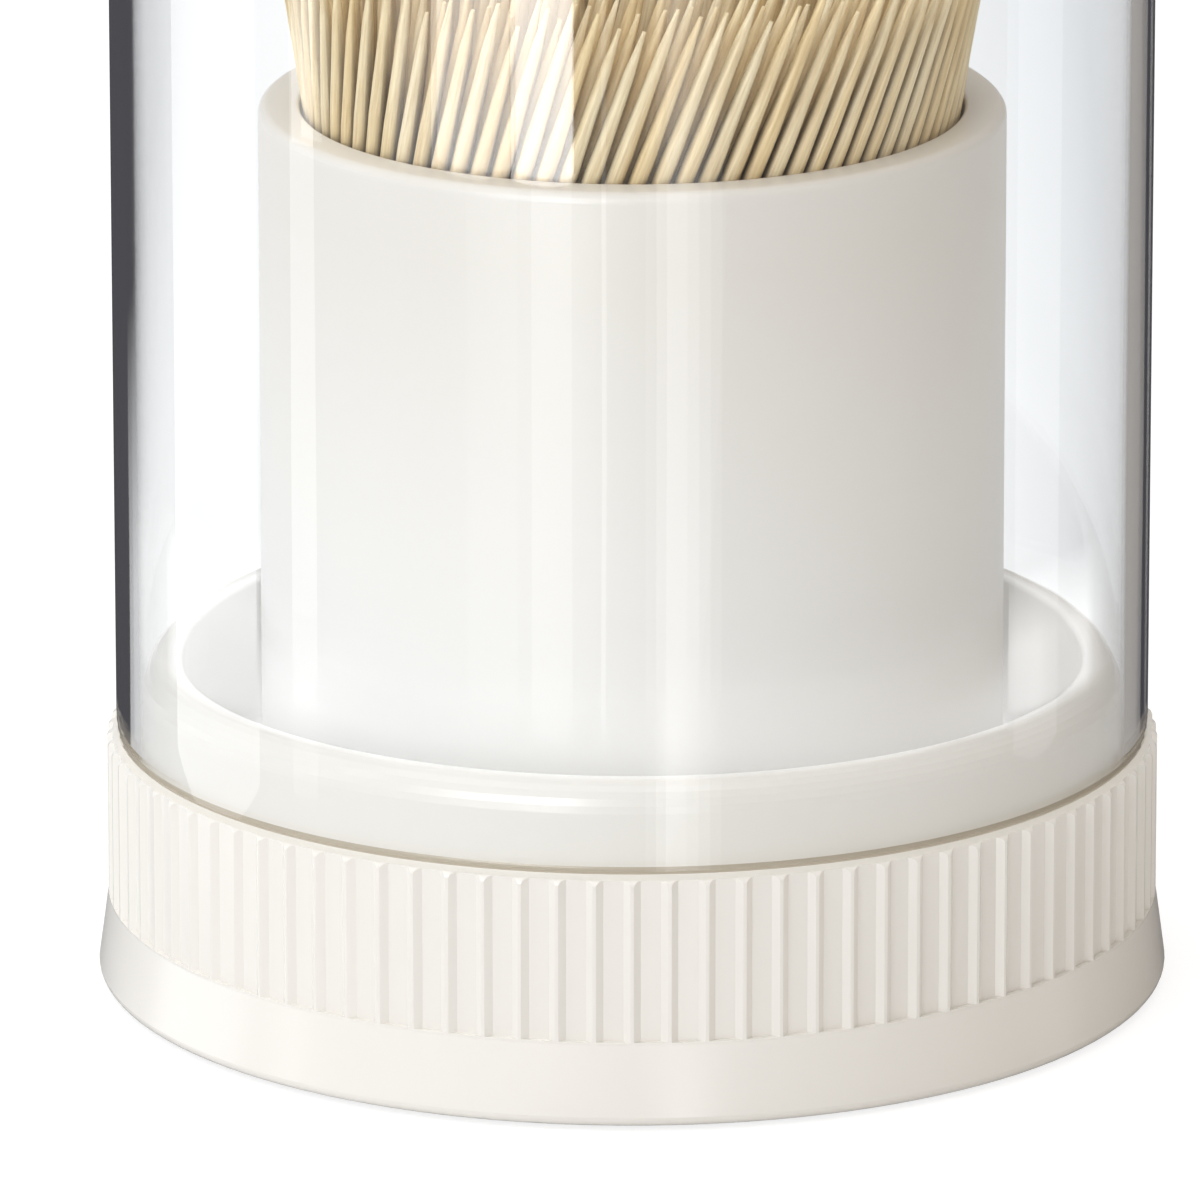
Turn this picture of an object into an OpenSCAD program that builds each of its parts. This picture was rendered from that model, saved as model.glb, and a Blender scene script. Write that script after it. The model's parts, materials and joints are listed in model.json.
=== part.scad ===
// Table-top toothpick holder: a ribbed cream base carries a straight inner cup of
// toothpicks, and a clear dust cover drops over the base's raised rim.
// Millimetres, +Z up, origin on the table under the centre of the base.

/* [Cup] */
// Outside diameter of the inner cup
cup_d = 57.4; // [50:0.2:66]
// Wall of the inner cup
cup_wall = 3.2; // [1.6:0.1:4]
// Depth inside the cup, from rim to floor
cup_depth = 46.4; // [38:0.2:54]
// Thickness of the cup's floor
cup_floor = 1.8; // [1.2:0.1:3]
// Rounding of the rim's outer edge
cup_rim_round = 0.8; // [0.4:0.1:1.2]

/* [Base] */
// Height of the smooth flared foot
foot_h = 6.3; // [4:0.1:10]
// How far the foot flares out past the ribs
foot_flare = 0.75; // [0.2:0.05:2]
// Height of the ribbed grip band
grip_h = 12.85; // [8:0.05:18]
// Number of upright ribs round the grip band
rib_count = 90; // [60:1:100]
// How far the ribs stand out from the band
rib_h = 0.45; // [0.3:0.05:0.8]
// Width of each rib where it meets the band
rib_w = 1.3; // [0.9:0.05:1.6]
// Width of each rib's crest
rib_crest_w = 0.2; // [0.1:0.05:0.5]
// Height of the raised rim that the cover slips over, above the ledge
plug_h = 6.85; // [5:0.05:12]
// Thickness of the raised rim
plug_wall = 3.1; // [3:0.1:4.5]
// Gap between the cup and the raised rim
trough_w = 6.2; // [4:0.1:9]
// Depth of the trough round the cup, from the top of the raised rim
trough_depth = 11.5; // [8:0.5:18]
// Height of the boss under the cup, above the trough's floor
boss_h = 6.6; // [4:0.1:12]
// Wall of the base moulding
shell_wall = 1.8; // [1.4:0.1:2.2]

/* [Cover] */
// Wall of the clear cover
cover_wall = 1.8; // [1.2:0.1:2.6]
// Thickness of the cover's flat top
cover_top = 2; // [1.4:0.1:3]
// Outer radius of the cover's shoulder
shoulder_r = 5; // [3.5:0.5:9]
// Free height between the tallest toothpick and the cover's ceiling
head_room = 5; // [2:0.5:15]

/* [Underside] */
// Thickness of the closing plate
plate_t = 1.6; // [1.2:0.1:2.4]
// Depth that the closing plate is set into the foot
plate_inset = 0.3; // [0.2:0.1:0.8]
// Middle radius of the non-slip ring
pad_r = 31; // [24:0.5:34]
// Width of the non-slip ring
pad_w = 5; // [3:0.5:7]
// Thickness of the non-slip ring
pad_t = 1.1; // [0.9:0.05:1.3]
// How far the non-slip ring stands below the foot
pad_proud = 0.3; // [0.2:0.05:0.5]

/* [Toothpicks] */
// Diameter of a toothpick
pick_d = 1.4; // [1.2:0.05:1.5]
// Length of a toothpick
pick_len = 65; // [56:0.5:80]
// Length of each tapered end
pick_taper = 12; // [6:0.5:18]
// Diameter of the blunt point
pick_point = 0.3; // [0.2:0.05:0.5]
// Turn of the bundle between the cup's floor and its rim, in degrees
bundle_twist = 44; // [30:1:60]

/* [Hidden] */
// Clearances between the pieces
cover_clear = 0.2;
seat_gap = 0.3;
boss_clear = 0.1;
floor_clear = 0.1;
plate_clear = 0.1;
pad_clear = 0.05;
pick_clear = 0.15;

// Edge roundings
foot_round = 0.8;
grip_round = 0.45;
plug_round = 2.2;
plug_inner_round = 0.5;
trough_round = 1;
ledge_round = 0.3;
cup_inner_round = 0.35;
cover_lip_round = 0.3;
grip_overhang = 0.75;
rib_lift = 0.2;
cut_over = 1;

// Radii, worked out from the cup outwards
cup_r = cup_d / 2;
cup_in_r = cup_r - cup_wall;
boss_r = cup_in_r - boss_clear;
trough_r = cup_r + trough_w;
plug_r = trough_r + plug_wall;
cover_in_r = plug_r + cover_clear;
cover_r = cover_in_r + cover_wall;
grip_r = cover_r + grip_overhang;
foot_r = grip_r + foot_flare;
band_r = grip_r - rib_h;
skirt_in_r = band_r - shell_wall;
plate_r = skirt_in_r + shell_wall / 2;

// Heights, worked out from the table upwards
foot_z = pad_proud;
grip_z = foot_z + foot_h;
ledge_z = grip_z + grip_h;
plug_z = ledge_z + plug_h;
trough_z = plug_z - trough_depth;
boss_z = trough_z + boss_h;
cup_bottom_z = trough_z + seat_gap;
cup_under_z = boss_z + floor_clear;
cup_floor_z = cup_under_z + cup_floor;
cup_rim_z = cup_floor_z + cup_depth;
cover_z = ledge_z + seat_gap;
plate_z = foot_z + plate_inset;
plate_top_z = plate_z + plate_t;

// The bundle of toothpicks: straight sticks that all turn one way as they rise, so that
// at any height the bundle is the floor's pattern turned and enlarged
ROWS = 8;
DENSE_ROWS = 2;
floor_share = 0.95;
core_share = 0.3;
tight_share = 1.04;
loose_start_share = 1.2;
loose_step_share = 0.15;
length_scatter_share = 0.04;
taper_share = 0.3;
taper_width_share = 0.62;
pick_r = pick_d / 2;
pick_floor_z = cup_floor_z + pick_clear;
bundle_h = cup_rim_z - pick_floor_z;
run_share = sqrt(1 + pow(floor_share, 2) - 2 * floor_share * cos(bundle_twist));
narrow_share = floor_share * sin(bundle_twist) / run_share;
outer_row_r = cup_in_r - pick_r / cos(lean(cup_in_r)) - pick_clear;
dense_step = pick_d * tight_share / narrow_share;
dense_r = outer_row_r - (DENSE_ROWS - 1) * dense_step;
core_r = outer_row_r * core_share;
loose_step = (dense_r - core_r) / (ROWS - DENSE_ROWS);
tallest_tip_z = pick_floor_z + pick_len * cos(lean(core_r)) + pick_r;
cover_ceiling_z = tallest_tip_z + head_room;
cover_top_z = cover_ceiling_z + cover_top;

$fn = 96;

// Points of an arc round [x, y], from angle a0 to a1
function arc(x, y, r, a0, a1, steps = 6) =
    [for (i = [0 : steps]) let (a = a0 + (a1 - a0) * i / steps) [x + r * cos(a), y + r * sin(a)]];

// Lean from the vertical of a toothpick that meets the rim's height at radius r
function lean(r) = atan(r * run_share / bundle_h);

// Radius of a row at the rim's height: dense outer rows, then even steps to the open core
function row_r(k) =
    k <= DENSE_ROWS ? outer_row_r - (k - 1) * dense_step : dense_r - (k - DENSE_ROWS) * loose_step;

// Room for each toothpick of a row, as a share of its diameter
function row_room_share(k) =
    k <= DENSE_ROWS ? tight_share : loose_start_share + loose_step_share * (k - DENSE_ROWS - 1);

// Toothpicks in a row: as many as pass the bundle's narrowest height side by side
function row_count(k) =
    let (r = row_r(k))
    floor(2 * PI * r * narrow_share * cos(lean(r)) / (pick_d * row_room_share(k)));

// A repeatable scatter from 0 to 1
function scatter(i, k) = let (s = 997 * abs(sin(37 * i + 61 * k + 11))) s - floor(s);

// Radius of toothpick i in row k at the rim's height, scattered where the rows are loose
function pick_rim_r(i, k) =
    row_r(k) + (k <= DENSE_ROWS ? 0 : (scatter(i, k + ROWS) - 0.5) * (loose_step - dense_step));

// Angle of toothpick i in row k, in degrees, scattered by the room that the row leaves
function pick_angle(i, k) =
    360 / row_count(k) * (i + scatter(i, k) * (1 - tight_share / row_room_share(k)));

// One turned base: foot, grip band, ledge, raised rim, trough and boss
module base_shell() {
    color("#F3EEE2")
    difference() {
        rotate_extrude() base_outline();
        rib_gaps();
    }
}

module base_outline() {
    polygon(concat(
        [[plate_r + plate_clear, foot_z]],
        arc(foot_r - foot_round, foot_z + foot_round, foot_round, -90, 0),
        [[grip_r, grip_z]],
        arc(grip_r - grip_round, ledge_z - grip_round, grip_round, 0, 90),
        [[plug_r + ledge_round, ledge_z], [plug_r, ledge_z + ledge_round]],
        arc(plug_r - plug_round, plug_z - plug_round, plug_round, 0, 90),
        arc(trough_r + plug_inner_round, plug_z - plug_inner_round, plug_inner_round, 90, 180),
        arc(trough_r - trough_round, trough_z + trough_round, trough_round, 0, -90),
        [[boss_r, trough_z], [boss_r, boss_z], [0, boss_z], [0, boss_z - shell_wall]],
        [[boss_r - shell_wall, boss_z - shell_wall], [boss_r - shell_wall, trough_z - shell_wall]],
        [[trough_r + shell_wall, trough_z - shell_wall], [trough_r + shell_wall, ledge_z - shell_wall]],
        [[skirt_in_r, ledge_z - shell_wall], [skirt_in_r, plate_top_z]],
        [[plate_r + plate_clear, plate_top_z]]
    ));
}

// The hollows between the ribs, which leave the band's flat floor and the ribs' slanted flanks
module rib_gaps() {
    floor_half = (2 * PI * band_r / rib_count - rib_w) / 2;
    crest_half = (2 * PI * grip_r / rib_count - rib_crest_w) / 2;
    for (i = [0 : rib_count - 1])
        rotate([0, 0, 360 * i / rib_count])
            translate([0, 0, grip_z + rib_lift])
                linear_extrude(grip_h + cut_over)
                    polygon([
                        [band_r, -floor_half], [grip_r, -crest_half], [grip_r + cut_over, -crest_half],
                        [grip_r + cut_over, crest_half], [grip_r, crest_half], [band_r, floor_half]
                    ]);
}

// Closing plate, pushed into the foot from below, with a channel for the non-slip ring
module base_plate() {
    color("#E6E0D2")
    difference() {
        translate([0, 0, plate_z]) cylinder(r = plate_r, h = plate_t - plate_clear);
        translate([0, 0, plate_z - cut_over])
            ring(pad_r, pad_w + 2 * pad_clear, pad_t - pad_proud - plate_inset + pad_clear + cut_over);
    }
}

module non_slip_ring() {
    color("#BDB8AC") ring(pad_r, pad_w, pad_t);
}

module ring(middle_r, width, height) {
    rotate_extrude() translate([middle_r - width / 2, 0]) square([width, height]);
}

// Straight cup whose skirt drops over the base's boss
module inner_cup() {
    color("#F1ECE0")
    rotate_extrude()
        polygon(concat(
            [[boss_r + boss_clear, cup_bottom_z], [cup_r, cup_bottom_z]],
            arc(cup_r - cup_rim_round, cup_rim_z - cup_rim_round, cup_rim_round, 0, 90),
            arc(cup_in_r + cup_inner_round, cup_rim_z - cup_inner_round, cup_inner_round, 90, 180),
            [[cup_in_r, cup_floor_z], [0, cup_floor_z], [0, cup_under_z], [boss_r + boss_clear, cup_under_z]]
        ));
}

// Clear dust cover, closed at the top, resting on the base's ledge
module clear_cover() {
    shoulder_in_r = shoulder_r - cover_wall;
    color("#DCEBEE", 0.35)
    rotate_extrude()
        polygon(concat(
            arc(cover_in_r + cover_lip_round, cover_z + cover_lip_round, cover_lip_round, 180, 270, 3),
            arc(cover_r - cover_lip_round, cover_z + cover_lip_round, cover_lip_round, -90, 0, 3),
            arc(cover_r - shoulder_r, cover_top_z - shoulder_r, shoulder_r, 0, 90, 8),
            [[0, cover_top_z], [0, cover_ceiling_z]],
            arc(cover_in_r - shoulder_in_r, cover_ceiling_z - shoulder_in_r, shoulder_in_r, 90, 0, 8)
        ));
}

// One toothpick standing on its point, tapered at both ends
module toothpick(len) {
    point_r = pick_point / 2;
    taper_r = pick_r * taper_width_share;
    taper_z = pick_taper * taper_share;
    rotate_extrude($fn = 16)
        polygon([
            [0, 0], [point_r, 0], [taper_r, taper_z], [pick_r, pick_taper],
            [pick_r, len - pick_taper], [taper_r, len - taper_z], [point_r, len], [0, len]
        ]);
}

// A ring of toothpicks that lean out and round, each from its point on the cup's floor
module toothpick_row(k) {
    color("#DDBE86")
    for (i = [0 : row_count(k) - 1])
        let (
            r = pick_rim_r(i, k),
            a = pick_angle(i, k),
            from = [r * floor_share * cos(a - bundle_twist), r * floor_share * sin(a - bundle_twist)],
            run = [r * cos(a), r * sin(a)] - from
        )
        translate([from[0], from[1], pick_floor_z])
            rotate([0, lean(r), atan2(run[1], run[0])])
                toothpick(pick_len * (1 - length_scatter_share * scatter(i, k)));
}

base_shell();
base_plate();
non_slip_ring();
inner_cup();
clear_cover();
toothpick_row(1);  // toothpick_row_1
toothpick_row(2);  // toothpick_row_2
toothpick_row(3);  // toothpick_row_3
toothpick_row(4);  // toothpick_row_4
toothpick_row(5);  // toothpick_row_5
toothpick_row(6);  // toothpick_row_6
toothpick_row(7);  // toothpick_row_7
toothpick_row(8);  // toothpick_row_8
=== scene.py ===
"""Looks for the toothpick holder: materials, floor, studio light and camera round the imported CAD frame.

Everything is in metres and radians, unless a name or comment says otherwise. Azimuths are in degrees round
the object, from the camera's side, which is -Y, and positive to the right.
"""

import json
import math

import bpy
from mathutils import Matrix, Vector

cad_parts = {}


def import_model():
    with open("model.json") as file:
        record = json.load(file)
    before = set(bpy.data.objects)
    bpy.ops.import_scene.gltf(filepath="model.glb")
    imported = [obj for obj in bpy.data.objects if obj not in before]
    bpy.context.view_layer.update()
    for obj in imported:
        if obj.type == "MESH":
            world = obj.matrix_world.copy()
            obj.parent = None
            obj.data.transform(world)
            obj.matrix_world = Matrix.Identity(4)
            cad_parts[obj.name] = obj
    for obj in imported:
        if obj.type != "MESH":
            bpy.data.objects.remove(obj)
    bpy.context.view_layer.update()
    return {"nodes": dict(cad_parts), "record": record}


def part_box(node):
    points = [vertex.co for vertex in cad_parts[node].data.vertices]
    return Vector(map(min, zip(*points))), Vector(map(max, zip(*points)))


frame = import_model()
nodes = frame["nodes"]

# Camera, fitted to the photograph
FRAME_PX = 1200
FOCAL_PX = 14220.6
CENTRE_SHIFT_PX = 32.1
SENSOR_MM = 36
CAMERA_BACK = 1.0566
CAMERA_HEIGHT = 0.3390
CAMERA_PITCH = 0.2849
CLIP_START = 0.01
CLIP_END = 50

# Places that the looks are worked out from
RIM_INSET = 0.0051  # from the cover's outside in to the inside of the base's raised rim
RIM_FADE = (0.0002, 0.0012)  # where on the rim the trough's painted light, a paler colour against its shade, starts to fade, and ends
CUP_FADE = (0.008, 0.006)  # above the cup's foot and below its rim, where its painted light, a paler colour low on the cup, fades between
COVER_LIP = 0.0003  # height of the cover's edge, where the seam's shade is painted
cup_low, cup_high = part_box("inner_cup")
cover_low, cover_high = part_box("clear_cover")
picks_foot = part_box("toothpick_row_1")[0].z
cover_r = (cover_high.x - cover_low.x) / 2
trough_r = cover_r - RIM_INSET

# How the toothpicks lie: the floor's pattern is a little smaller than the rim's and turned from it
FLOOR_SHARE = 0.95
BUNDLE_TWIST = math.radians(44)
GRAIN_STRETCH = 0.04  # how fast the grain changes along a toothpick, as a share of how fast it does across
GAP_REACH = 0.003  # how far off neighbours cast painted shade on a toothpick
GAP_SHARES = (0.3, 0.85)  # open shares of the surroundings at which a toothpick is darkest and unshaded

# Colours, each pair the two ends of a material's own variation
CREAM = ((0.88, 0.855, 0.81), (0.86, 0.83, 0.78))
# Painted light: a paler cream inside the shaded trough, standing in for light that doesn't reach it
CREAM_PAINTED_LIGHT_IN_TROUGH = (0.98, 0.975, 0.965)
CUP = ((0.845, 0.81, 0.76), (0.825, 0.785, 0.73))
# Painted light: a paler cup colour low down, where the trough shades it
CUP_FOOT_PAINTED_LIGHT = (0.96, 0.95, 0.93)
UNDERSIDE = ((0.78, 0.75, 0.69), (0.74, 0.71, 0.65))
RUBBER = ((0.5, 0.48, 0.44), (0.42, 0.4, 0.37))
CLEAR = (0.985, 0.995, 1.0)
CLEAR_PASSING = (0.985, 0.99, 0.99)
# Painted shade: the seam's shadow line, painted on the cover's lowest edge
SEAM_PAINTED_SHADE = (0.5, 0.44, 0.35)
STRAW = ((1.0, 0.9, 0.64), (0.95, 0.76, 0.43))
FIBRE = (0.56, 0.37, 0.16)
FIBRE_MOST = 0.6
# Painted shade: dark brown in the gaps between toothpicks
PICK_GAP_PAINTED_SHADE = (0.1, 0.055, 0.02)

# Roughness from the glossiest to the dullest places. On the moulded plastic neither range crosses 0.27,
# where the render's denoiser draws contour lines.
CREAM_GLOSS = (0.16, 0.24)
CUP_GLOSS = (0.31, 0.38)
UNDERSIDE_GLOSS = (0.4, 0.55)
RUBBER_GLOSS = (0.65, 0.85)
BAMBOO_GLOSS = (0.42, 0.6)
CLEAR_ROUGHNESS = 0.015
LIP_ROUGHNESS = 0.3
PLASTIC_IOR = 1.5
CLEAR_IOR = 1.49

# What the floor and the room show to different kinds of light
WHITE = (1.0, 1.0, 1.0)
FLOOR_HALF = 4.0
FLOOR_PAINT = (0.9, 0.9, 0.9)
FLOOR_FAINT = (0.3, 0.3, 0.3)
FLOOR_GLOW = (0.8, 0.8, 0.8)
FLOOR_GLOW_RIGHT = (0.48, 0.5, 0.53)
GLOW_FADE = (0.6, 2.0)  # where the floor's glow starts and ends its fade to the right, in cover radiuses
ROOM_LEFT = (0.93, 0.95, 0.98)
ROOM_RIGHT = (0.34, 0.27, 0.19)
ROOM_FADE = (-0.5, 1.0)  # the same for the room, in a direction's X
ROOM_IN_GLOSS = (0.3, 0.3, 0.31)
ROOM_IN_GLOSS_LOW = (0.09, 0.09, 0.1)
FLAG = (0.07, 0.068, 0.075)
PALE_FLAG = (0.48, 0.45, 0.42)

# Edges of the floor's flags: at Y = 0 they touch the cover, the slopes are dX/dY, and the fade is in Y
RIGHT_SLOPE = 0.3
LEFT_SLOPE = 0.5
LEFT_FLAG_FADE = (0.09, 0.175)


def add(tree, kind, inputs=None, **settings):
    """A shader node with its settings and its inputs, each a value or a socket to link from."""
    node = tree.nodes.new(kind)
    for name, value in settings.items():
        setattr(node, name, value)
    for name, value in (inputs or {}).items():
        socket = node.inputs[name]
        if isinstance(value, bpy.types.NodeSocket):
            tree.links.new(value, socket)
        elif socket.type == "RGBA":
            socket.default_value = (*value, 1)
        else:
            socket.default_value = value
    return node


def new_material(name):
    """An empty node material and its tree."""
    material = bpy.data.materials.new(name)
    material.use_nodes = True
    material.node_tree.nodes.clear()
    return material, material.node_tree


def end_in(tree, shader):
    """The material's surface is this shader."""
    add(tree, "ShaderNodeOutputMaterial", {"Surface": shader})


def math_node(tree, operation, first, second=0.0, third=0.0):
    """The result of a maths node."""
    sockets = {0: first, 1: second, 2: third}
    return add(tree, "ShaderNodeMath", sockets, operation=operation).outputs[0]


def noise(tree, where, scale, detail=2.0, roughness=0.5):
    """Noise from 0 to 1, with features of about 1 / scale metres."""
    sockets = {"Vector": where, "Scale": scale, "Detail": detail, "Roughness": roughness}
    return add(tree, "ShaderNodeTexNoise", sockets).outputs["Fac"]


def spread(tree, value, low, high, clamp=True):
    """Noise, which seldom leaves 0.3 to 0.7, stretched to run from low to high."""
    sockets = {"Value": value, "From Min": 0.3, "From Max": 0.7, "To Min": low, "To Max": high}
    return add(tree, "ShaderNodeMapRange", sockets, clamp=clamp).outputs["Result"]


def rise(tree, value, start, end, clamp=True):
    """0 at start, rising to 1 at end."""
    sockets = {"Value": value, "From Min": start, "From Max": end}
    return add(tree, "ShaderNodeMapRange", sockets, clamp=clamp).outputs["Result"]


def fall(tree, value, start, end):
    """1 up to start, falling to 0 at end."""
    sockets = {"Value": value, "From Min": start, "From Max": end, "To Min": 1.0, "To Max": 0.0}
    return add(tree, "ShaderNodeMapRange", sockets).outputs["Result"]


def through(tree, value, points):
    """The value carried along straight lines through the points, each a place and a level."""
    first, last = points[0][0], points[-1][0]
    most = max(level for place, level in points)
    node = add(tree, "ShaderNodeValToRGB", {"Fac": rise(tree, value, first, last)})
    stops = node.color_ramp.elements
    while len(stops) < len(points):
        stops.new(1.0)
    for stop, (place, level) in zip(stops, points):
        stop.position = (place - first) / (last - first)
        stop.color = (level / most, level / most, level / most, 1)
    return math_node(tree, "MULTIPLY", node.outputs["Color"], most)


def mix_colour(tree, share, first, second):
    """A blend of two colours."""
    sockets = {"Factor": share, 6: first, 7: second}  # the node's colours A and B
    return add(tree, "ShaderNodeMix", sockets, data_type="RGBA").outputs[2]


def object_place(tree):
    """A point's place in the object's own frame, in metres."""
    return add(tree, "ShaderNodeTexCoord").outputs["Object"]


def axes(tree, vector):
    """The X, Y and Z of a vector."""
    return add(tree, "ShaderNodeSeparateXYZ", {0: vector}).outputs


def bumped(tree, height, strength, distance):
    """The surface's normal, roughened by the height."""
    sockets = {"Height": height, "Strength": strength, "Distance": distance}
    return add(tree, "ShaderNodeBump", sockets).outputs["Normal"]


def painted_light_in_trough(tree):
    """1 inside the base's trough, which the raised rim shelters and shades: where a paler colour is painted
    in as painted light.
    """
    x, y, z = axes(tree, object_place(tree))
    flat = add(tree, "ShaderNodeCombineXYZ", {0: x, 1: y}).outputs[0]
    radius = add(tree, "ShaderNodeVectorMath", {0: flat}, operation="LENGTH").outputs["Value"]
    return fall(tree, radius, trough_r + RIM_FADE[0], trough_r + RIM_FADE[1])


def painted_light_low_on_cup(tree):
    """1 at the cup's foot, falling to 0 towards its rim: where a paler colour is painted on the shaded
    lower cup as painted light.
    """
    x, y, z = axes(tree, object_place(tree))
    return fall(tree, z, cup_low.z + CUP_FADE[0], cup_high.z - CUP_FADE[1])


def moulded_plastic(name, tones, gloss, painted_light_mask=None, painted_light_tone=None):
    """Moulded plastic: faint clouding, an uneven gloss, a fine skin, and, if given, a paler colour painted
    in as painted light where the mask says it is shaded.
    """
    material, tree = new_material(name)
    where = object_place(tree)
    tone = mix_colour(tree, noise(tree, where, scale=28, detail=1), *tones)
    if painted_light_mask:
        # Painted light: a paler colour mixed in where the part is shaded
        tone = mix_colour(tree, painted_light_mask(tree), tone, painted_light_tone)
    patches = noise(tree, where, scale=60, detail=1)
    skin = noise(tree, where, scale=1800, detail=1)
    shader = add(tree, "ShaderNodeBsdfPrincipled", {
        "Base Color": tone,
        "Roughness": spread(tree, patches, *gloss, clamp=False),
        "Normal": bumped(tree, skin, strength=0.3, distance=0.00002),
        "IOR": PLASTIC_IOR,
    })
    end_in(tree, shader.outputs[0])
    return material


def rubber():
    """Matte grey rubber with a fine stipple."""
    material, tree = new_material("grip_rubber")
    where = object_place(tree)
    patches = spread(tree, noise(tree, where, scale=160), 0, 1)
    stipple = noise(tree, where, scale=1500, detail=3)
    shader = add(tree, "ShaderNodeBsdfPrincipled", {
        "Base Color": mix_colour(tree, patches, *RUBBER),
        "Roughness": spread(tree, stipple, *RUBBER_GLOSS),
        "Normal": bumped(tree, stipple, strength=0.6, distance=0.0001),
    })
    end_in(tree, shader.outputs[0])
    return material


def clear_plastic():
    """Clear moulded plastic that lets the lamps' light through, with the seam's shade painted as a dull
    brown band on its edge at the ledge.
    """
    material, tree = new_material("clear_plastic")
    where = object_place(tree)
    drawn_out = add(tree, "ShaderNodeMapping", {"Vector": where, "Scale": (1, 1, 0.12)}).outputs[0]
    flow = noise(tree, drawn_out, scale=70)
    glass = add(tree, "ShaderNodeBsdfPrincipled", {
        "Base Color": CLEAR,
        "Roughness": CLEAR_ROUGHNESS,
        "IOR": CLEAR_IOR,
        "Transmission Weight": 1.0,
        "Normal": bumped(tree, flow, strength=0.35, distance=0.0001),
    })
    # Painted shade: the seam's shadow line between cover and ledge, an opaque brown band on the cover's
    # lowest edge
    lip = add(tree, "ShaderNodeBsdfPrincipled", {"Base Color": SEAM_PAINTED_SHADE, "Roughness": LIP_ROUGHNESS})
    x, y, z = axes(tree, where)
    seam_shade_band = math_node(tree, "LESS_THAN", z, cover_low.z + COVER_LIP)
    body = add(tree, "ShaderNodeMixShader", {0: seam_shade_band, 1: glass.outputs[0], 2: lip.outputs[0]})
    clear = add(tree, "ShaderNodeBsdfTransparent", {"Color": CLEAR_PASSING})
    path = add(tree, "ShaderNodeLightPath").outputs
    passing = math_node(tree, "MAXIMUM", path["Is Shadow Ray"], path["Is Diffuse Ray"])
    mixed = add(tree, "ShaderNodeMixShader", {0: passing, 1: body.outputs[0], 2: clear.outputs[0]})
    end_in(tree, mixed.outputs[0])
    return material


def along_picks(tree):
    """A point's place in the bundle with its twist undone: X and Y stay the same along a toothpick."""
    x, y, z = axes(tree, object_place(tree))
    height = rise(tree, z, picks_foot, cup_high.z, clamp=False)
    left = math_node(tree, "SUBTRACT", 1.0, height)
    along = math_node(tree, "MULTIPLY_ADD", left, FLOOR_SHARE * math.cos(BUNDLE_TWIST), height)
    across = math_node(tree, "MULTIPLY", left, -FLOOR_SHARE * math.sin(BUNDLE_TWIST))
    size = math_node(tree, "MULTIPLY_ADD", along, along, math_node(tree, "MULTIPLY", across, across))
    first = math_node(tree, "MULTIPLY_ADD", x, along, math_node(tree, "MULTIPLY", y, across))
    turned = math_node(tree, "MULTIPLY", x, across)
    second = math_node(tree, "SUBTRACT", math_node(tree, "MULTIPLY", y, along), turned)
    return add(tree, "ShaderNodeCombineXYZ", {
        "X": math_node(tree, "DIVIDE", first, size),
        "Y": math_node(tree, "DIVIDE", second, size),
        "Z": math_node(tree, "MULTIPLY", z, GRAIN_STRETCH),
    }).outputs[0]


def bamboo():
    """Bare bamboo: pale straw, darker fibres along each leaning toothpick, and painted shade in the gaps
    between them.
    """
    material, tree = new_material("bamboo")
    where = along_picks(tree)
    stick = noise(tree, where, scale=420, detail=1)
    fibre = noise(tree, where, scale=4200, detail=3, roughness=0.6)
    light = mix_colour(tree, spread(tree, stick, 0, 1), *STRAW)
    grained = mix_colour(tree, spread(tree, fibre, 0, FIBRE_MOST), light, FIBRE)
    # Painted shade: dark brown mixed in where neighbouring toothpicks close round a point
    gaps = add(tree, "ShaderNodeAmbientOcclusion", {"Distance": GAP_REACH}, samples=6, only_local=True)
    openness = rise(tree, gaps.outputs["AO"], *GAP_SHARES)
    shader = add(tree, "ShaderNodeBsdfPrincipled", {
        "Base Color": mix_colour(tree, openness, PICK_GAP_PAINTED_SHADE, grained),
        "Roughness": spread(tree, fibre, *BAMBOO_GLOSS),
        "Normal": bumped(tree, fibre, strength=0.5, distance=0.00008),
    })
    end_in(tree, shader.outputs[0])
    return material


materials = {
    # The cream plastic carries painted light: a paler colour inside its shaded trough
    "cream_plastic": moulded_plastic("cream_plastic", CREAM, CREAM_GLOSS, painted_light_in_trough, CREAM_PAINTED_LIGHT_IN_TROUGH),
    # The cup carries painted light: a paler colour low down, where the trough shades it
    "cup_plastic": moulded_plastic("cup_plastic", CUP, CUP_GLOSS, painted_light_low_on_cup, CUP_FOOT_PAINTED_LIGHT),
    "underside_plastic": moulded_plastic("underside_plastic", UNDERSIDE, UNDERSIDE_GLOSS),
    "grip_rubber": rubber(),
    "clear_plastic": clear_plastic(),
    "bamboo": bamboo(),
}

for part in frame["record"]["subparts"]:
    piece = nodes[part["node"]]
    piece.data.materials.clear()
    piece.data.materials.append(materials[part["material_slot"]])


def stage_piece(name, corners, faces, material):
    """A mesh that belongs to the stage, not to the object."""
    mesh = bpy.data.meshes.new(name)
    mesh.from_pydata(corners, [], faces)
    mesh.materials.append(material)
    made = bpy.data.objects.new(name, mesh)
    bpy.context.scene.collection.objects.link(made)
    return made


def wall_rays(tree, path):
    """1 for light that was mirrored inside the cover's wall, where a studio's flags darken a clear edge."""
    mirrored = math_node(tree, "GREATER_THAN", path["Glossy Depth"], 0.5)
    one_wall = math_node(tree, "LESS_THAN", path["Transmission Depth"], 2.5)
    both = math_node(tree, "MULTIPLY", mirrored, one_wall)
    return math_node(tree, "MULTIPLY", both, path["Is Transmission Ray"])


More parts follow.
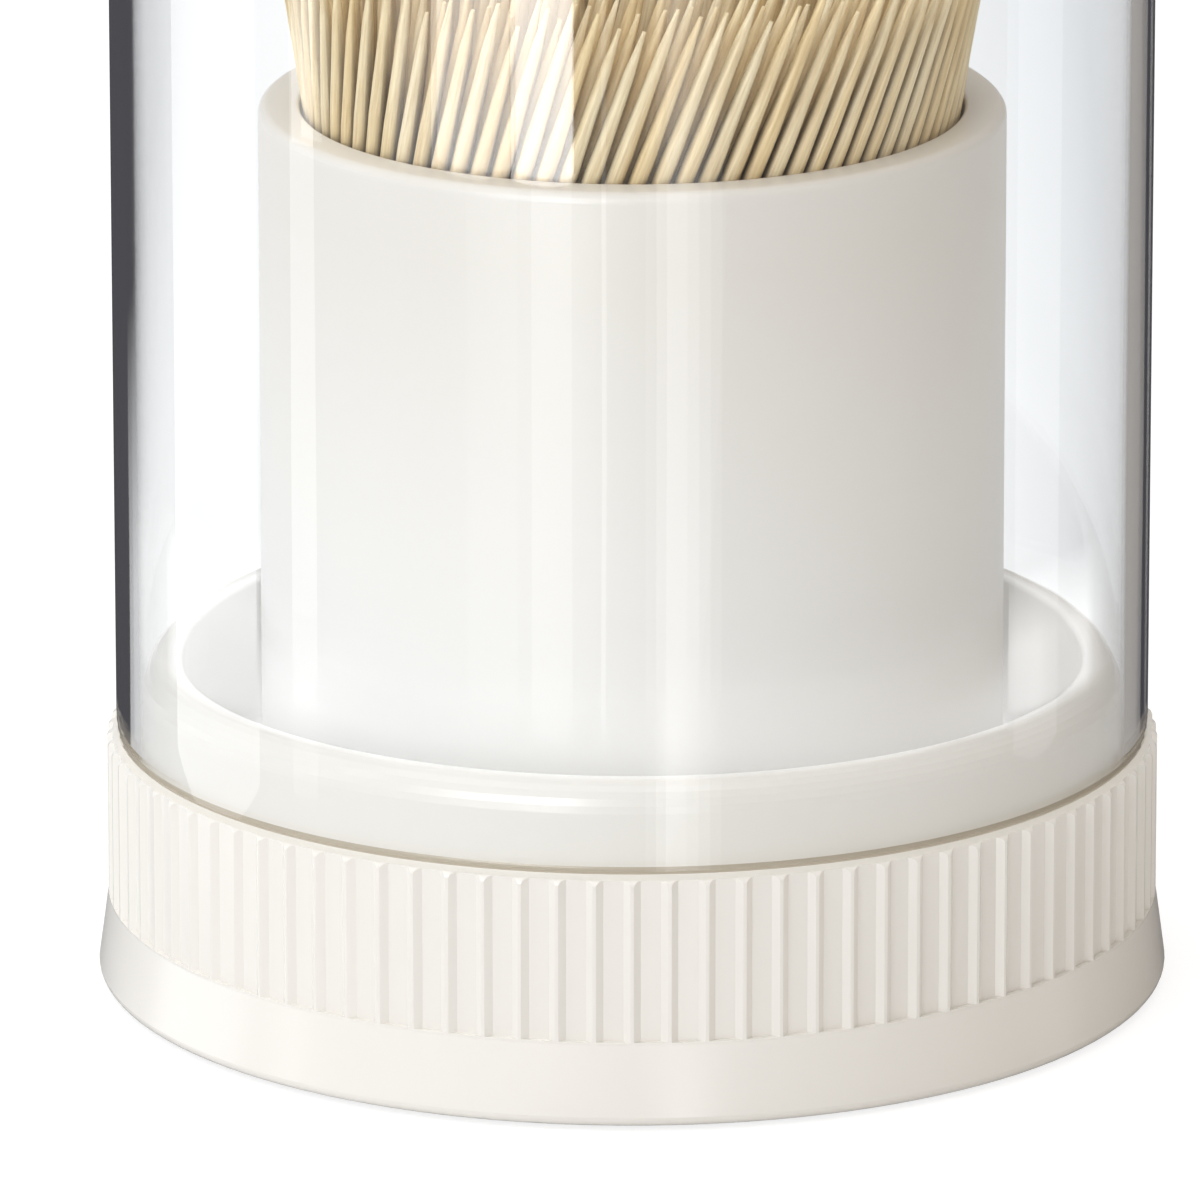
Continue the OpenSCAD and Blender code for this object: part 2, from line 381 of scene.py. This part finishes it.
def plain_floor(tree, path, x):
    """White to the camera and through the cover, where it dims to the right, with a soft shadow."""
    shown = math_node(tree, "MAXIMUM", path["Is Camera Ray"], path["Is Transmission Ray"])
    to_right = rise(tree, x, cover_r * GLOW_FADE[0], cover_r * GLOW_FADE[1])
    fade = math_node(tree, "MULTIPLY", to_right, path["Is Transmission Ray"])
    glow = add(tree, "ShaderNodeEmission", {
        "Color": mix_colour(tree, fade, FLOOR_GLOW, FLOOR_GLOW_RIGHT)})
    paint = add(tree, "ShaderNodeBsdfDiffuse", {"Color": FLOOR_PAINT})
    faint = add(tree, "ShaderNodeBsdfDiffuse", {"Color": FLOOR_FAINT})
    lit = add(tree, "ShaderNodeAddShader", {0: faint.outputs[0], 1: glow.outputs[0]})
    return add(tree, "ShaderNodeMixShader", {0: shown, 1: paint.outputs[0], 2: lit.outputs[0]}).outputs[0]


def floor_flags(tree, x, y):
    """The flags on the floor: dark, paler to the right of the cover, and none near it on the left."""
    right_edge = math_node(tree, "MULTIPLY_ADD", y, -RIGHT_SLOPE, x)
    left_edge = math_node(tree, "MULTIPLY_ADD", y, LEFT_SLOPE, x)
    right = math_node(tree, "GREATER_THAN", right_edge, cover_r)
    left = math_node(tree, "LESS_THAN", left_edge, -cover_r)
    near_left = math_node(tree, "MULTIPLY", left, fall(tree, y, *LEFT_FLAG_FADE))
    tone = mix_colour(tree, right, FLAG, PALE_FLAG)
    tone = mix_colour(tree, near_left, tone, FLOOR_GLOW)
    return add(tree, "ShaderNodeEmission", {"Color": tone}).outputs[0]


def floor_material():
    """A white floor, which shows its flags only to light from inside the cover's wall."""
    material, tree = new_material("floor")
    path = add(tree, "ShaderNodeLightPath").outputs
    x, y, z = axes(tree, object_place(tree))
    mixed = add(tree, "ShaderNodeMixShader", {
        0: wall_rays(tree, path), 1: plain_floor(tree, path, x), 2: floor_flags(tree, x, y)})
    end_in(tree, mixed.outputs[0])
    return material


floor_corners = [(x * FLOOR_HALF, y * FLOOR_HALF, 0) for x, y in ((-1, -1), (1, -1), (1, 1), (-1, 1))]
floor = stage_piece("floor", floor_corners, [(0, 1, 2, 3)], floor_material())
floor.visible_glossy = False


def world():
    """White to the camera, and a soft even room for everything else, a little dimmer on the right."""
    made = bpy.data.worlds.new("room")
    made.use_nodes = True
    tree = made.node_tree
    tree.nodes.clear()
    path = add(tree, "ShaderNodeLightPath").outputs
    x, y, z = axes(tree, add(tree, "ShaderNodeTexCoord").outputs["Generated"])
    down = math_node(tree, "LESS_THAN", z, 0.0)
    gloss_down = math_node(tree, "MULTIPLY", down, path["Is Glossy Ray"])
    colour = mix_colour(tree, rise(tree, x, *ROOM_FADE), ROOM_LEFT, ROOM_RIGHT)
    colour = mix_colour(tree, path["Is Glossy Ray"], colour, ROOM_IN_GLOSS)
    colour = mix_colour(tree, gloss_down, colour, ROOM_IN_GLOSS_LOW)
    colour = mix_colour(tree, wall_rays(tree, path), colour, FLAG)
    colour = mix_colour(tree, path["Is Camera Ray"], colour, WHITE)
    back = add(tree, "ShaderNodeBackground", {"Color": colour, "Strength": 1.0})
    add(tree, "ShaderNodeOutputWorld", {"Surface": back.outputs[0]})
    bpy.context.scene.world = made


world()


def area_lamp(name, width, height, radiance):
    """A rectangular lamp of the given radiance."""
    lamp = bpy.data.lights.new(name, "AREA")
    lamp.shape = "RECTANGLE"
    lamp.size = width
    lamp.size_y = height
    lamp.energy = radiance * math.pi * width * height
    holder = bpy.data.objects.new(name, lamp)
    bpy.context.scene.collection.objects.link(holder)
    return holder


def softbox(name, azimuth, distance, width, low, high, radiance, gloss_only=True):
    """An upright lamp that faces the object's axis."""
    holder = area_lamp(name, width, high - low, radiance)
    turn = math.radians(azimuth)
    holder.location = (distance * math.sin(turn), -distance * math.cos(turn), (low + high) / 2)
    holder.rotation_euler = (math.pi / 2, 0, turn)
    holder.visible_diffuse = not gloss_only


# How far the lamps stand from the axis. The far ones reach below the floor, which gloss doesn't see, so
# that the cover shows them lower on the object.
NEAR = 0.26
FAR = 0.72
VEIL = 0.7

# Heights of lamps' edges, named by where the photograph's camera sees them in the cover
ABOVE_CUP_RIM = 0.0153
ABOVE_TROUGH = -0.177
DOWN_TO_LEDGE = -0.24
BELOW_PICKS = -0.105
PAST_TOP = 0.3
PAST_PHOTO = 0.1

# Each lamp's azimuth, distance, width, low edge, high edge and radiance. Diffuse light comes from the first
# and from the one overhead, and the others only make highlights.
softbox("key_light", -28, FAR, 0.40, 0.05, 0.6, 1.68, gloss_only=False)
softbox("key_high", -18.1, NEAR, 0.057, ABOVE_CUP_RIM, PAST_TOP, 7.5)
softbox("wing_high", -32.8, NEAR, 0.075, ABOVE_CUP_RIM, PAST_TOP, 4.2)
softbox("wing_end", -45.6, NEAR, 0.045, ABOVE_CUP_RIM, PAST_TOP, 1.2)
softbox("strip_high", -71.5, NEAR, 0.026, ABOVE_CUP_RIM, PAST_TOP, 2.4)
softbox("key_low", -17, FAR, 0.11, ABOVE_TROUGH, BELOW_PICKS, 0.85)
softbox("wing_low", -30, FAR, 0.14, ABOVE_TROUGH, BELOW_PICKS, 0.35)

# A strip that fades out at its foot
for low, high, radiance in ((-0.189, -0.177, 0.48), (-0.177, -0.165, 1.12), (-0.165, PAST_PHOTO, 1.6)):
    softbox("strip_low", -75.3, FAR, 0.085, low, high, radiance)

# A bright line down the front that fades sideways: azimuths of its strips' edges, and the strips' radiances
LINE_EDGES = (2.8, 5.0, 7.1, 11.5, 14.1, 16.7, 19.1)
LINE_RADIANCES = (0.5, 1.6, 2.8, 2.2, 1.4, 0.6)
for start, end, radiance in zip(LINE_EDGES, LINE_EDGES[1:], LINE_RADIANCES):
    width = 2 * FAR * math.tan(math.radians(end - start) / 2)
    softbox("soft_line", (start + end) / 2, FAR, width, DOWN_TO_LEDGE, PAST_PHOTO, radiance)

softbox("front_line", -6.0, FAR, 0.012, ABOVE_TROUGH, PAST_PHOTO, 1.5)
softbox("side_left", -104, FAR, 0.39, -0.197, PAST_PHOTO, 1.25)
softbox("side_right", 99, FAR, 0.19, -0.187, PAST_PHOTO, 0.65)


def veil(name, levels, shares, steps=64):
    """A soft glow on an arc low round the object, which the cover shows as a pale veil over the trough.

    Its radiance is the level at an azimuth times the share at a height. Lamps behind it show through.
    """
    start, end = math.radians(levels[0][0]), math.radians(levels[-1][0])
    low, high = shares[0][0], shares[-1][0]
    turns = [start + (end - start) * step / steps for step in range(steps + 1)]
    corners = [(VEIL * math.sin(turn), -VEIL * math.cos(turn), z) for turn in turns for z in (low, high)]
    faces = [(2 * i, 2 * i + 2, 2 * i + 3, 2 * i + 1) for i in range(steps)]

    material, tree = new_material(name)
    x, y, z = axes(tree, object_place(tree))
    turn = math_node(tree, "ARCTAN2", x, math_node(tree, "MULTIPLY", y, -1.0))
    level = through(tree, turn, [(math.radians(azimuth), value) for azimuth, value in levels])
    radiance = math_node(tree, "MULTIPLY", level, through(tree, z, shares))
    glow = add(tree, "ShaderNodeEmission", {"Color": WHITE, "Strength": radiance})
    clear = add(tree, "ShaderNodeBsdfTransparent", {"Color": WHITE})
    both = add(tree, "ShaderNodeAddShader", {0: glow.outputs[0], 1: clear.outputs[0]})
    end_in(tree, both.outputs[0])
    material.cycles.emission_sampling = "NONE"

    made = stage_piece(name, corners, faces, material)
    for rays in ("camera", "diffuse", "transmission", "volume_scatter", "shadow"):
        setattr(made, "visible_" + rays, False)


# Levels by azimuth, then shares by height
veil(
    "veil_left",
    ((-142, 0), (-136, 0.4), (-130, 0.35), (-124, 0.6), (-120, 2.0), (-110, 2.6), (-101.6, 3.3),
     (-96, 3.7), (-89.4, 4.5)),
    ((-0.176, 0), (-0.1735, 1), (-0.1605, 1), (-0.1515, 0)))
veil(
    "veil_front",
    ((-89.4, 5.2), (-78, 4.8), (-62, 3.2), (-50, 2.7), (-30, 2.7), (-5, 3.2), (10, 3.6), (30, 4.3),
     (52, 4.8), (70, 5.1), (89.6, 5.2)),
    ((-0.1755, 0), (-0.1748, 1), (-0.1708, 1), (-0.1676, 0.7), (-0.1628, 0.26), (-0.1596, 0.09),
     (-0.156, 0)))
veil(
    "veil_right",
    ((89.6, 6.8), (99, 6.4), (104, 4.6), (110, 3.7), (118, 3.1), (122, 1.3), (127, 0.4), (134, 0)),
    ((-0.176, 0), (-0.1735, 1), (-0.1655, 1), (-0.1555, 0)))

# A wide lamp overhead
TOP_SIDE = 0.7
TOP_RADIANCE = 1.8
top = area_lamp("top", TOP_SIDE, TOP_SIDE, TOP_RADIANCE)
top.location = (-0.15, 0, 0.9)


def camera():
    """The photograph's camera."""
    lens = bpy.data.cameras.new("camera")
    lens.sensor_width = SENSOR_MM
    lens.lens = SENSOR_MM * FOCAL_PX / FRAME_PX
    lens.shift_x = -CENTRE_SHIFT_PX / FRAME_PX
    lens.clip_start = CLIP_START
    lens.clip_end = CLIP_END
    holder = bpy.data.objects.new("camera", lens)
    holder.location = (0, -CAMERA_BACK, CAMERA_HEIGHT)
    holder.rotation_euler = (math.pi / 2 - CAMERA_PITCH, 0, 0)
    bpy.context.scene.collection.objects.link(holder)
    bpy.context.scene.camera = holder


camera()
bpy.context.scene.view_settings.view_transform = "Standard"
